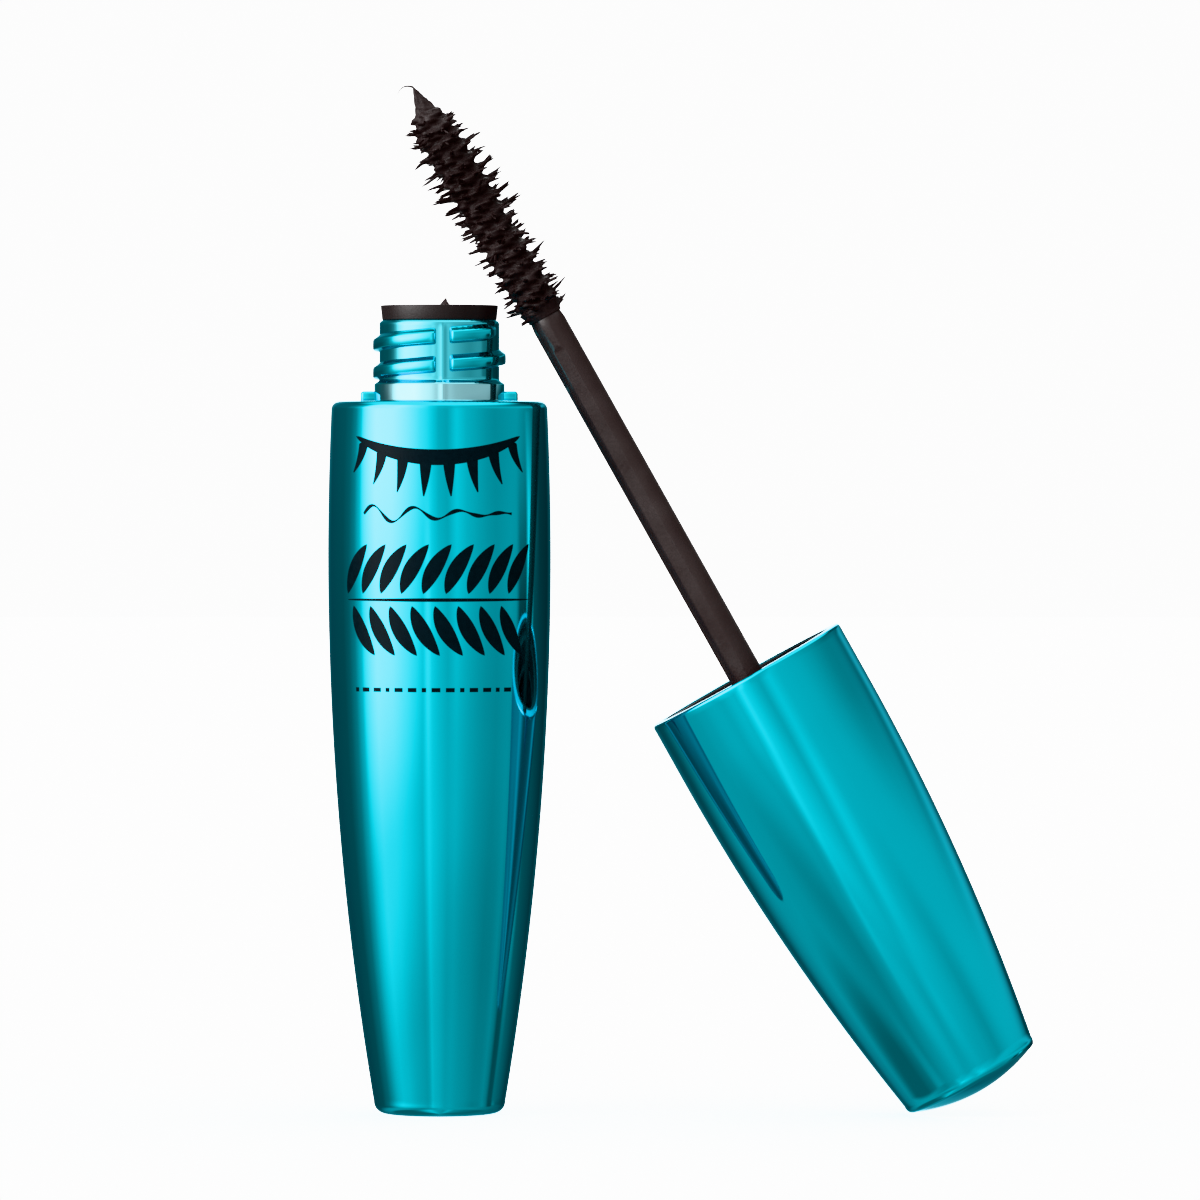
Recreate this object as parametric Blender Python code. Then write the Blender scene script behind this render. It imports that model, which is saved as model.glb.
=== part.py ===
"""A mascara tube, open: the bottle stands with its wiper and product inside, and the cap with
its brush wand leans on the bottle's mouth.

Metres, +Z up. The origin is the centre of the bottle's flat base. Lengths below are given in
millimetres and scaled by MM where a mesh is made. The wand is modelled upright in its own
frame (mouth of the cap at the origin, brush towards +Z) and tilted as a whole by its parent.
"""

from math import asin, cos, pi, radians, sin, tan

import bmesh
import bpy
from mathutils import Vector

MM = 0.001
SEGMENTS = 40

# ---- bottle -------------------------------------------------------------------------------
BOTTLE_R = 11.15            # widest radius
BOTTLE_R_HEIGHT = 55.65     # height of the widest place
BOTTLE_TAPER = 0.001537     # radius lost per square millimetre from the widest place
SHOULDER_Z = 71.2
SHOULDER_ROUND = 0.8
BASE_ROUND = 1.2
BOTTLE_WALL = 1.35
FLOOR_Z = 2.4
NECK_R = 6.0
NECK_TOP_Z = 79.3
NECK_BORE_R = 4.95
NECK_FOOT_RISE = 0.35       # slope from the collar's top edge in to the neck
COLLAR_R = 6.52
COLLAR_TOP_Z = 73.15
INNER_CORNER = 1.3          # slant at the foot of the bottle's inside

# ---- screw thread -------------------------------------------------------------------------
PITCH = 2.8
THREAD_CREST_R = 6.65
THREAD_ROOT_HALF = 0.85     # half the ridge's height on the neck
THREAD_CREST_HALF = 0.5     # half its height at the crest
THREAD_FRONT_Z = 74.75      # height of the lower ridge at the front of the neck
PARTING_DEG = 4.3           # the mould's parting line stands this far round from the front
PARTING_GAP = 1.5           # the thread stops for this width at the parting lines
THREAD_END_DEG = 85         # the thread runs out this far round from the front
THREAD_FADE_DEG = 40        # over which its crest sinks
THREAD_LEAST = 0.15         # share of the full height that is left where it stops
THREAD_SINK = 0.2           # how far a ridge is rooted in the wall
LUG_SINK = 0.4
LUG_R = 7.86
LUG_HEIGHT = 1.0
LUG_WIDTH = 2.6

# ---- wiper --------------------------------------------------------------------------------
WIPER_FLANGE_R = 5.98
WIPER_FLANGE = 1.5
WIPER_R = 4.85
WIPER_MOUTH_R = 4.3
WIPER_BORE_R = 3.95
WIPER_LIP_R = 2.1
WIPER_LIP_Z = 67.6
WIPER_WALL = 0.75
WIPER_CONE = 5.0            # height of the funnel above the lip
WIPER_LAND = 0.7            # height of the straight bore in the lip
WIPER_LEAD_IN = 0.9         # depth of the slope at the mouth
WIPER_EDGE = 0.15
WIPER_SEAT = 0.05           # the flange stands this far above the neck

# ---- product ------------------------------------------------------------------------------
FILL_Z = 52.0
FILL_EDGE = 1.0             # the surface dips this far towards the well
FILL_EDGE_WIDTH = 1.2
WELL_R = 4.1
WELL_FLOOR_Z = 4.4
WELL_END_SLANT = 1.4
RESIDUE_FOOT = (0.7, -5.1)  # where a dried peak of product stands on the wiper's flange
RESIDUE_LEVELS = ((0.0, 0.42, 0.0), (0.18, 0.3, 0.0), (0.38, 0.16, 0.03), (0.58, 0.05, 0.08))
FIT_GAP = 0.2               # from the product to the bottle's wall

# ---- cap ----------------------------------------------------------------------------------
CAP_R = 10.65
CAP_R_DEPTH = 6.35          # the cap is straight from its mouth to this depth
CAP_TAPER = 0.0022
CAP_LENGTH = 47.85
CAP_WALL = 1.3
CAP_DOME = 1.43             # height of the crowned end
CAP_DOME_R = 6.8
CAP_EDGE = 0.35
CAP_CORNER = 0.9            # height of the slanted corner round the crowned end
CAP_CORNER_STEP = (0.32, 0.25)

# ---- liner --------------------------------------------------------------------------------
LINER_GAP = 0.1
LINER_SET_BACK = 0.15
LINER_MOUTH_R = 8.65
LINER_LUG_DEPTH = 1.4
LINER_BORE_R = 7.0
LINER_SLEEVE_R = 8.25
LINER_SEAT_DEPTH = 10.0
LINER_WEB = 1.4
LINER_SOCKET_R = 2.7
LINER_SOCKET_DEPTH = 19.5
LINER_TOWER_R = 3.9
LINER_RING = 0.6            # thickness of the ring behind the mouth's step
LINER_THREAD_CREST_R = 6.2
LINER_THREAD_DEPTH = 5.4
LINER_THREAD_SPAN = (-0.75 * pi, pi)

# ---- rod ----------------------------------------------------------------------------------
ROD_R = 1.75
ROD_END = 41.3              # how far the rod reaches out of the cap's mouth
ROD_END_CHAMFER = (1.0, 0.25)
ROD_HEAD_R = 2.6
ROD_HEAD_GAP = 0.2          # from the head to the end of its socket
ROD_SEAL_R = 3.7
ROD_SEAL_GAP = 0.1
ROD_SEAL_EDGE = 0.9
ROD_SEAL_HEIGHT = 3.0       # of the cone that closes the wiper's mouth
WIRE_HOLE_R = 0.7
WIRE_HOLE_DEPTH = 8.5

# ---- brush --------------------------------------------------------------------------------
BRUSH_LENGTH = 25.3         # from the rod's end to the tip of the product
BRUSH_LEAN_DEG = 1.4        # the wire is bent a little to one side outside the rod
BRUSH_BEND = 2.0            # length over which the bend starts
TWIST_PITCH = 2.9
STRAND_R = 0.24
STRAND_OFFSET = 0.32
WIRE_END = 22.0             # from the rod's end to the wire's bend at the tip
BRISTLE_START = 0.95
BRISTLE_END = 22.3
BRISTLE_ROOT_R = 0.68
BRISTLE_R = 3.05            # reach beside the rod's end
BRISTLE_SWELL = 0.8         # added over the first stretch
BRISTLE_FULL_AT = 17.0
BRISTLE_POINT_AT = 18.0     # from here to the end the brush comes to a point
BRISTLE_POINT = 1.65        # reach lost there
BRISTLE_RAGGED = 0.86       # every other point of a row reaches only this share
BRISTLE_ROOT_HALF = 0.26
BRISTLE_TIP_HALF = 0.12
CLUMP_R = 1.75              # product at the wire's end
CLUMP_TIP_R = 0.06
CLUMP_FLAT = 0.75           # its thickness as a share of its width
CLUMP_CURL = 0.5
CLUMP_GAP = 0.15            # from the wire to the product
RESIDUE_R = 2.3             # product round the rod's end
RESIDUE_GAP = 0.08

# ---- pose ---------------------------------------------------------------------------------
WAND_TILT_DEG = 29.25       # from upright, brush towards -X
CAP_MOUTH_X = 30.6          # centre of the cap's mouth
CAP_MOUTH_Z = 43.9


# ---- scene helpers ------------------------------------------------------------------------
def clear_scene():
    for obj in list(bpy.data.objects):
        bpy.data.objects.remove(obj, do_unlink=True)


def material(name, colour, roughness, metallic=0.0):
    mat = bpy.data.materials.new(name)
    mat.use_nodes = True
    shader = mat.node_tree.nodes["Principled BSDF"]
    shader.inputs["Base Color"].default_value = (*colour, 1.0)
    shader.inputs["Roughness"].default_value = roughness
    shader.inputs["Metallic"].default_value = metallic
    mat.diffuse_color = (*colour, 1.0)
    return mat


def add_mesh(name, bm, mat, parent=None):
    """Closes off a bmesh as an object, with its faces turned outwards."""
    bmesh.ops.recalc_face_normals(bm, faces=bm.faces)
    mesh = bpy.data.meshes.new(name)
    bm.to_mesh(mesh)
    bm.free()
    mesh.shade_smooth()
    mesh.set_sharp_from_angle(angle=radians(35))
    mesh.materials.append(mat)
    obj = bpy.data.objects.new(name, mesh)
    bpy.context.scene.collection.objects.link(obj)
    obj.parent = parent
    return obj


def turned(name, outline, mat, parent=None, segments=SEGMENTS, closed=False):
    """A body of revolution about Z from an outline of (radius, height) points."""
    bm = bmesh.new()
    verts = [bm.verts.new((r * MM, 0.0, z * MM)) for r, z in outline]
    pairs = list(zip(verts, verts[1:]))
    if closed:
        pairs.append((verts[-1], verts[0]))
    edges = [bm.edges.new(pair) for pair in pairs]
    bmesh.ops.spin(bm, geom=verts + edges, axis=(0, 0, 1), cent=(0, 0, 0),
                   angle=2 * pi, steps=segments, use_merge=True)
    bmesh.ops.remove_doubles(bm, verts=bm.verts, dist=1e-7)
    return add_mesh(name, bm, mat, parent)


def swept(name, sections, mat, parent=None):
    """A closed solid through sections of equal point count, with both ends capped."""
    bm = bmesh.new()
    rings = [[bm.verts.new(point * MM) for point in section] for section in sections]
    count = len(rings[0])
    for ring, following in zip(rings, rings[1:]):
        for i in range(count):
            j = (i + 1) % count
            bm.faces.new((ring[i], ring[j], following[j], following[i]))
    bm.faces.new(rings[0])
    bm.faces.new(rings[-1])
    return add_mesh(name, bm, mat, parent)


def unite(target, tools):
    """Welds the tools onto the target with Boolean unions and hides them."""
    for tool in tools:
        tool.hide_render = True
        tool.display_type = "WIRE"
        modifier = target.modifiers.new("weld " + tool.name, "BOOLEAN")
        modifier.operation = "UNION"
        modifier.object = tool


def arc(centre_r, centre_z, radius, start_deg, end_deg, steps):
    """Points on a circular arc in the (radius, height) plane."""
    angles = (radians(start_deg + (end_deg - start_deg) * i / steps) for i in range(steps + 1))
    return [(centre_r + radius * cos(a), centre_z + radius * sin(a)) for a in angles]


def spread(start, end, count):
    return [start + (end - start) * i / (count - 1) for i in range(count)]


# ---- outlines -----------------------------------------------------------------------------
def bottle_radius(z):
    return BOTTLE_R - BOTTLE_TAPER * (z - BOTTLE_R_HEIGHT) ** 2


def cap_radius(depth):
    return CAP_R - CAP_TAPER * max(0.0, depth - CAP_R_DEPTH) ** 2


def bristle_radius(u):
    """Reach of the bristles at a distance u from the rod's end: slim, full, then pointed."""
    full = BRISTLE_R + BRISTLE_SWELL * sin(pi / 2 * min(1.0, u / BRISTLE_FULL_AT)) ** 2
    tip = max(0.0, (u - BRISTLE_POINT_AT) / (BRISTLE_END - BRISTLE_POINT_AT))
    return full - BRISTLE_POINT * tip ** 1.4


def thread_z(angle):
    """Height of the neck thread's centre, for an angle counted round from +X, up the screw."""
    return THREAD_FRONT_Z + PITCH * (angle - 1.5 * pi) / (2 * pi)


def thread_ridge(name, start, end, z_at, root_r, crest_r, mat, parent=None, taper_end=False):
    """One stretch of thread: a trapezium swept round the screw between two angles."""
    steps = max(3, round((end - start) / radians(15)))
    sections = []
    for angle in spread(start, end, steps + 1):
        fade = min(1.0, (end - angle) / radians(THREAD_FADE_DEG)) if taper_end else 1.0
        crest = root_r + (crest_r - root_r) * max(THREAD_LEAST, fade)
        z = z_at(angle)
        shape = ((root_r, -THREAD_ROOT_HALF), (crest, -THREAD_CREST_HALF),
                 (crest, THREAD_CREST_HALF), (root_r, THREAD_ROOT_HALF))
        sections.append([Vector((r * cos(angle), r * sin(angle), z + dz)) for r, dz in shape])
    return swept(name, sections, mat, parent)


# ---- bottle and what is in it -------------------------------------------------------------
def make_bottle(mat):
    corner_r = bottle_radius(BASE_ROUND) - BASE_ROUND
    edge_r = bottle_radius(SHOULDER_Z - SHOULDER_ROUND) - SHOULDER_ROUND
    inner_shoulder_z = SHOULDER_Z - BOTTLE_WALL
    outline = [(0.0, 0.0)]
    outline += arc(corner_r, BASE_ROUND, BASE_ROUND, -90, 0, 3)
    outline += [(bottle_radius(z), z) for z in spread(6.0, SHOULDER_Z - 5.0, 9)]
    outline += arc(edge_r, SHOULDER_Z - SHOULDER_ROUND, SHOULDER_ROUND, 0, 90, 3)
    outline += [(COLLAR_R, SHOULDER_Z), (COLLAR_R, COLLAR_TOP_Z), (NECK_R, COLLAR_TOP_Z + NECK_FOOT_RISE),
                (NECK_R, NECK_TOP_Z), (NECK_BORE_R, NECK_TOP_Z), (NECK_BORE_R, inner_shoulder_z)]
    outline += [(bottle_radius(z) - BOTTLE_WALL, z)
                for z in spread(inner_shoulder_z - 2.0, FLOOR_Z + 1.5, 6)]
    outline += [(bottle_radius(FLOOR_Z) - BOTTLE_WALL - INNER_CORNER, FLOOR_Z), (0.0, FLOOR_Z)]
    bottle = turned("bottle", outline, mat)

    parting = radians(270 + PARTING_DEG)
    gap = asin(PARTING_GAP / 2 / THREAD_CREST_R)
    stretches = [(parting - pi + gap, parting - gap, False),
                 (parting + gap, parting + pi - gap, False),
                 (parting + pi + gap, parting + 2 * pi - gap, False),
                 (parting + 2 * pi + gap, radians(270 + 360 + THREAD_END_DEG), True)]
    tools = [thread_ridge(f"thread_ridge_{i}", start, end, thread_z, NECK_R - THREAD_SINK,
                          THREAD_CREST_R, mat, taper_end=fades)
             for i, (start, end, fades) in enumerate(stretches)]
    for side in (-1, 1):
        tools.append(make_lug(f"lug_{side}", side, mat))
    unite(bottle, tools)
    return bottle


def make_lug(name, side, mat):
    """A small block at the foot of the neck that locks the closed cap."""
    inner = COLLAR_R - LUG_SINK
    sections = []
    for z in (SHOULDER_Z - 0.3, SHOULDER_Z + LUG_HEIGHT):
        corners = ((inner, -1), (LUG_R, -1), (LUG_R, 1), (inner, 1))
        sections.append([Vector((side * x, y * LUG_WIDTH / 2, z)) for x, y in corners])
    return swept(name, sections, mat)


def make_wiper(mat):
    top = NECK_TOP_Z + WIPER_FLANGE
    under = NECK_TOP_Z + WIPER_SEAT
    cone_top = WIPER_LIP_Z + WIPER_CONE
    lip_out = WIPER_LIP_R + WIPER_WALL
    outline = [(WIPER_FLANGE_R, under), (WIPER_FLANGE_R, top - WIPER_EDGE),
               (WIPER_FLANGE_R - WIPER_EDGE, top), (WIPER_MOUTH_R, top),
               (WIPER_BORE_R, top - WIPER_LEAD_IN), (WIPER_BORE_R, cone_top),
               (WIPER_LIP_R, WIPER_LIP_Z + WIPER_LAND), (WIPER_LIP_R, WIPER_LIP_Z),
               (lip_out - 0.3, WIPER_LIP_Z), (WIPER_R, cone_top - 0.4), (WIPER_R, under)]
    return turned("wiper", outline, mat, closed=True, segments=40)


def make_formula(mat):
    """The paste: it fills the bottle round the well that the brush leaves."""
    foot_z = FLOOR_Z + FIT_GAP
    foot_r = bottle_radius(FLOOR_Z) - BOTTLE_WALL - INNER_CORNER - 0.5
    outline = [(0.0, foot_z), (foot_r, foot_z)]
    outline += [(bottle_radius(z) - BOTTLE_WALL - FIT_GAP, z)
                for z in spread(foot_z + 2.0, FILL_Z - FILL_EDGE, 6)]
    outline += [(WELL_R + FILL_EDGE_WIDTH, FILL_Z), (WELL_R, FILL_Z - FILL_EDGE),
                (WELL_R, WELL_FLOOR_Z + 0.8), (WELL_R - WELL_END_SLANT, WELL_FLOOR_Z),
                (0.0, WELL_FLOOR_Z)]
    return turned("mascara_formula", outline, mat, segments=32)


def make_rim_residue(mat):
    """A dried peak of product on the wiper's flange."""
    foot = Vector((*RESIDUE_FOOT, NECK_TOP_Z + WIPER_FLANGE + WIPER_SEAT))
    sections = []
    for rise, radius, lean in RESIDUE_LEVELS:
        ring = (radians(45 * i) for i in range(8))
        sections.append([foot + Vector((lean + radius * cos(a), 0.8 * radius * sin(a), rise))
                         for a in ring])
    return swept("rim_residue", sections, mat)


# ---- cap, rod and brush, in the wand's own frame ------------------------------------------
def make_cap_shell(mat, wand):
    corner_depth = CAP_LENGTH - CAP_DOME
    dome = [(r, -(CAP_LENGTH - CAP_DOME * (r / CAP_DOME_R) ** 2)) for r in spread(0.0, CAP_DOME_R, 4)]
    wall_depth = corner_depth - CAP_CORNER
    step_out, step_up = CAP_CORNER_STEP
    corner = [(CAP_DOME_R + step_out, -(corner_depth - step_up))]
    wall = [(cap_radius(d), -d) for d in spread(wall_depth, CAP_R_DEPTH, 8)]
    mouth = arc(CAP_R - CAP_EDGE, -CAP_EDGE, CAP_EDGE, 0, 90, 2)
    inside = [(CAP_R - CAP_WALL, 0.0)]
    inside += [(cap_radius(d) - CAP_WALL, -d) for d in spread(CAP_R_DEPTH, wall_depth - 1.5, 6)]
    inner_end = -(CAP_LENGTH - CAP_DOME - CAP_WALL)
    outline = dome + corner + wall + mouth + inside
    outline += [(CAP_DOME_R - 2.2, inner_end), (0.0, inner_end - 0.5)]
    return turned("cap_shell", outline, mat, wand)


def make_cap_liner(mat, wand):
    ring_r = CAP_R - CAP_WALL - LINER_GAP
    web_end = LINER_SEAT_DEPTH + LINER_WEB
    web_r = cap_radius(web_end) - CAP_WALL - LINER_GAP
    outline = [(LINER_SOCKET_R, -LINER_SEAT_DEPTH), (LINER_BORE_R, -LINER_SEAT_DEPTH),
               (LINER_BORE_R, -LINER_LUG_DEPTH), (LINER_MOUTH_R, -LINER_LUG_DEPTH),
               (LINER_MOUTH_R, -LINER_SET_BACK), (ring_r, -LINER_SET_BACK),
               (ring_r, -LINER_LUG_DEPTH - LINER_RING),
               (LINER_SLEEVE_R, -LINER_LUG_DEPTH - LINER_RING),
               (LINER_SLEEVE_R, -LINER_SEAT_DEPTH), (web_r, -LINER_SEAT_DEPTH),
               (web_r, -web_end), (LINER_TOWER_R, -web_end),
               (LINER_TOWER_R, -LINER_SOCKET_DEPTH), (LINER_SOCKET_R, -LINER_SOCKET_DEPTH)]
    liner = turned("cap_liner", outline, mat, wand, closed=True, segments=40)

    def liner_thread_z(angle):
        """The thread inside the cap, lying between the neck's ridges when it is screwed on."""
        return PITCH * angle / (2 * pi) - LINER_THREAD_DEPTH

    ridge = thread_ridge("liner_thread", *LINER_THREAD_SPAN, liner_thread_z,
                         LINER_BORE_R + THREAD_SINK, LINER_THREAD_CREST_R, mat, wand)
    unite(liner, [ridge])
    return liner


def make_rod(mat, wand):
    head_z = ROD_HEAD_GAP - LINER_SOCKET_DEPTH
    seal_z = ROD_SEAL_GAP - LINER_SEAT_DEPTH
    chamfer, chamfer_in = ROD_END_CHAMFER
    outline = [(0.0, head_z), (ROD_HEAD_R, head_z), (ROD_HEAD_R, seal_z), (ROD_SEAL_R, seal_z),
               (ROD_SEAL_R, seal_z + ROD_SEAL_EDGE), (ROD_R, seal_z + ROD_SEAL_HEIGHT),
               (ROD_R, ROD_END - chamfer), (ROD_R - chamfer_in, ROD_END),
               (WIRE_HOLE_R, ROD_END), (WIRE_HOLE_R, ROD_END - WIRE_HOLE_DEPTH),
               (0.0, ROD_END - WIRE_HOLE_DEPTH)]
    return turned("applicator_rod", outline, mat, wand, segments=28)


def brush_axis(u):
    """Centre of the twisted wire at a distance u from the rod's end; straight inside the rod."""
    if u <= 0:
        lean = 0.0
    elif u < BRUSH_BEND:
        lean = u * u / (2 * BRUSH_BEND)
    else:
        lean = u - BRUSH_BEND / 2
    return Vector((-tan(radians(BRUSH_LEAN_DEG)) * lean, 0.0, ROD_END + u))


def twist(u):
    return 2 * pi * u / TWIST_PITCH


def make_brush_wire(mat, wand):
    """One wire bent double at the tip, its two legs twisted round each other."""
    start = -WIRE_HOLE_DEPTH + 0.3
    steps = round((WIRE_END - start) / TWIST_PITCH * 7)
    heights = spread(start, WIRE_END, steps + 1)

    def leg_point(u, phase):
        a = twist(u) + phase
        return brush_axis(u) + Vector((cos(a), sin(a), 0.0)) * STRAND_OFFSET

    route = [leg_point(u, 0.0) for u in heights]
    across = Vector((cos(twist(WIRE_END)), sin(twist(WIRE_END)), 0.0))
    for step in range(1, 4):
        a = pi * step / 4
        route.append(brush_axis(WIRE_END) + across * STRAND_OFFSET * cos(a)
                     + Vector((0, 0, STRAND_OFFSET * sin(a))))
    route += [leg_point(u, pi) for u in reversed(heights)]

    curve = bpy.data.curves.new("brush_wire", "CURVE")
    curve.dimensions = "3D"
    curve.bevel_depth = STRAND_R * MM
    curve.bevel_resolution = 1
    curve.use_fill_caps = True
    spline = curve.splines.new("POLY")
    spline.points.add(len(route) - 1)
    for point, place in zip(spline.points, route):
        point.co = (*(place * MM), 1.0)
    curve.materials.append(mat)
    wire = bpy.data.objects.new("brush_wire", curve)
    bpy.context.scene.collection.objects.link(wire)
    wire.parent = wand
    return wire


def make_bristle_row(name, phase, mat, wand):
    """One helical row of bristles: a thin ragged ribbon standing out from the wire."""
    per_turn = 12
    steps = round((BRISTLE_END - BRISTLE_START) / TWIST_PITCH * per_turn)
    sections = []
    for i, u in enumerate(spread(BRISTLE_START, BRISTLE_END, steps + 1)):
        a = twist(u) + phase
        out = Vector((cos(a), sin(a), 0.0))
        reach = bristle_radius(u) * (BRISTLE_RAGGED if i % 2 else 1.0)
        section = ((BRISTLE_ROOT_R, -BRISTLE_ROOT_HALF), (reach, -BRISTLE_TIP_HALF),
                   (reach, BRISTLE_TIP_HALF), (BRISTLE_ROOT_R, BRISTLE_ROOT_HALF))
        sections.append([brush_axis(u) + out * r + Vector((0, 0, dz)) for r, dz in section])
    return swept(name, sections, mat, wand)


def make_tip_clump(mat, wand):
    """Product drawn out to a point beyond the wire's end, curling to one side."""
    start = WIRE_END + STRAND_OFFSET + STRAND_R + CLUMP_GAP
    levels = 7
    sections = []
    for i in range(levels):
        f = i / (levels - 1)
        u = start + (BRUSH_LENGTH - start) * f
        radius = CLUMP_R * (1 - f) ** 0.8 + CLUMP_TIP_R
        centre = brush_axis(u) + Vector((-CLUMP_CURL * f * f, 0.0, 0.0))
        ring = (2 * pi * k / 10 for k in range(10))
        sections.append([centre + Vector((radius * cos(a), CLUMP_FLAT * radius * sin(a), 0.0))
                         for a in ring])
    return swept("tip_clump", sections, mat, wand)


def make_rod_end_residue(mat, wand):
    """A collar of product round the rod's end, where the wiper scrapes it off."""
    inner = ROD_R + RESIDUE_GAP
    outline = [(BRISTLE_ROOT_R, ROD_END + RESIDUE_GAP), (inner, ROD_END + RESIDUE_GAP),
               (inner, ROD_END - 0.9), (ROD_R + 0.25, ROD_END - 1.0), (RESIDUE_R, ROD_END - 0.1),
               (RESIDUE_R - 0.4, ROD_END + 0.45), (BRISTLE_ROOT_R, ROD_END + 0.6)]
    return turned("rod_end_residue", outline, mat, wand, closed=True, segments=24)


def make_wand_frame():
    wand = bpy.data.objects.new("wand_frame", None)
    wand.location = Vector((CAP_MOUTH_X, 0.0, CAP_MOUTH_Z)) * MM
    wand.rotation_euler = (0.0, radians(-WAND_TILT_DEG), 0.0)
    bpy.context.scene.collection.objects.link(wand)
    return wand


def main():
    clear_scene()
    teal = (0.0, 0.36, 0.46)
    black = (0.022, 0.018, 0.018)
    paste = (0.008, 0.006, 0.006)

    make_bottle(material("metallised_bottle", teal, 0.12, 1.0))
    make_wiper(material("wiper_rubber", black, 0.5))
    product = material("mascara_paste", paste, 0.35)
    make_formula(product)
    make_rim_residue(product)

    wand = make_wand_frame()
    make_cap_shell(material("metallised_cap", teal, 0.12, 1.0), wand)
    make_cap_liner(material("liner_plastic", black, 0.45), wand)
    make_rod(material("rod_plastic", black, 0.4), wand)
    make_brush_wire(material("brush_wire_steel", (0.5, 0.5, 0.5), 0.35, 1.0), wand)
    bristle = material("bristle_nylon", paste, 0.5)
    make_bristle_row("bristle_row_a", pi / 2, bristle, wand)
    make_bristle_row("bristle_row_b", -pi / 2, bristle, wand)
    make_tip_clump(product, wand)
    make_rod_end_residue(product, wand)


main()
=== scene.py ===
"""The looks of the open mascara tube: a mirror-bright teal bottle with its screw neck and wiper,
and the cap with its coated brush, tilted so that the brush passes close by the bottle's mouth.

Lengths are written in millimetres and scaled by MM where a mesh is made. The wand is modelled
upright in its own frame, with the centre of the cap's mouth at the origin and the brush towards
+Z, and placed by WAND.
"""
from math import cos, degrees, pi, radians, sin, tan

import bmesh
import bpy
import numpy as np
from mathutils import Matrix, Vector


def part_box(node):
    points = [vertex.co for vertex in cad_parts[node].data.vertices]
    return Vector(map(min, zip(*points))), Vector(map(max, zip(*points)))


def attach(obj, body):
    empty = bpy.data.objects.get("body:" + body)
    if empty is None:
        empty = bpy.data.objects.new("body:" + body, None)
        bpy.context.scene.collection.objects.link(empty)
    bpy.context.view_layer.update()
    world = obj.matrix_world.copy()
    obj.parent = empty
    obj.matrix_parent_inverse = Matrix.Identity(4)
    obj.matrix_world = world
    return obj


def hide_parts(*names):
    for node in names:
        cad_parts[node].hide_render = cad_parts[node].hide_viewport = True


MM = 0.001

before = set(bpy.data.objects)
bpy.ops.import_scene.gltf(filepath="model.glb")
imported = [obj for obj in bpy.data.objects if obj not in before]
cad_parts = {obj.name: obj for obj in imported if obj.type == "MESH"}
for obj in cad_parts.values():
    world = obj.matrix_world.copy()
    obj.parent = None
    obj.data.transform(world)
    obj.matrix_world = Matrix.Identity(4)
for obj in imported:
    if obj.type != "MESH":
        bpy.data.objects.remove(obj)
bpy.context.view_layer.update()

# ---- driving dimensions, shared with the solid model --------------------------------------
BOTTLE_R, BOTTLE_R_HEIGHT, BOTTLE_TAPER = 11.15, 55.65, 0.001537
SHOULDER_Z, SHOULDER_ROUND, BASE_ROUND = 71.2, 0.8, 1.2
NECK_R, NECK_TOP_Z, NECK_BORE_R = 6.0, 79.3, 4.95
COLLAR_R, COLLAR_TOP_Z = 6.52, 73.15
BOTTLE_WALL, FLOOR_Z = 1.35, 2.4
PITCH, THREAD_CREST_R = 2.8, 6.65
THREAD_FRONT_Z, PARTING_DEG, PARTING_GAP = 74.75, 4.3, 1.5
LUG_R, LUG_HEIGHT, LUG_WIDTH = 7.86, 1.0, 2.6

CAP_R, CAP_R_DEPTH, CAP_TAPER, CAP_LENGTH = 10.65, 6.35, 0.0022, 47.85
CAP_WALL, CAP_DOME, CAP_DOME_R, CAP_EDGE = 1.3, 1.43, 6.8, 0.35
LINER_BORE_R, LINER_MOUTH_R, LINER_SOCKET_R = 7.0, 8.65, 2.7
LINER_SKIRT_R, LINER_SOCKET_OUTER_R, LINER_THREAD_R = 8.25, 3.9, 6.2
LINER_FLOOR, LINER_WEB, LINER_END = 10.0, 11.4, 19.5

ROD_R, ROD_END = 1.75, 41.3
ROD_SHANK_R, ROD_SHANK_END, ROD_SEAL_R = 2.6, 19.3, 3.7
WIRE_BORE_R, WIRE_BORE_DEPTH = 0.7, 8.5
BRUSH_LENGTH, BRUSH_LEAN_DEG, BRUSH_BEND = 25.3, 1.4, 2.0
TWIST_PITCH, BRISTLE_END = 2.9, 22.6

WAND_TILT_DEG, CAP_MOUTH = 29.25, (30.6, 0.0, 43.9)
WAND = (Matrix.Translation(Vector(CAP_MOUTH) * MM)
        @ Matrix.Rotation(radians(-WAND_TILT_DEG), 4, "Y"))

PARTING = radians(270 + PARTING_DEG)


# ---- mesh helpers -------------------------------------------------------------------------
def link(obj):
    """Puts an object in the scene and hands it back."""
    bpy.context.scene.collection.objects.link(obj)
    return obj


def finish_piece(name, mesh, mat, body, replaced=(), sharp_deg=40, matrix=None):
    """Turns a mesh into a piece of the object: material, smooth shading and body."""
    mesh.validate()
    mesh.shade_smooth()
    mesh.set_sharp_from_angle(angle=radians(sharp_deg))
    mesh.materials.append(mat)
    obj = link(bpy.data.objects.new(name, mesh))
    if matrix is not None:
        mesh.transform(matrix)
    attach(obj, body)
    if replaced:
        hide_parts(*replaced)
    return obj


def mesh_from(name, verts, faces):
    """A mesh from millimetre points and faces, with its normals turned outwards."""
    mesh = bpy.data.meshes.new(name)
    mesh.from_pydata([tuple(v) for v in np.asarray(verts) * MM], [], faces)
    bm = bmesh.new()
    bm.from_mesh(mesh)
    bmesh.ops.remove_doubles(bm, verts=bm.verts, dist=1e-7)
    bmesh.ops.recalc_face_normals(bm, faces=bm.faces)
    bm.to_mesh(mesh)
    bm.free()
    return mesh


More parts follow.
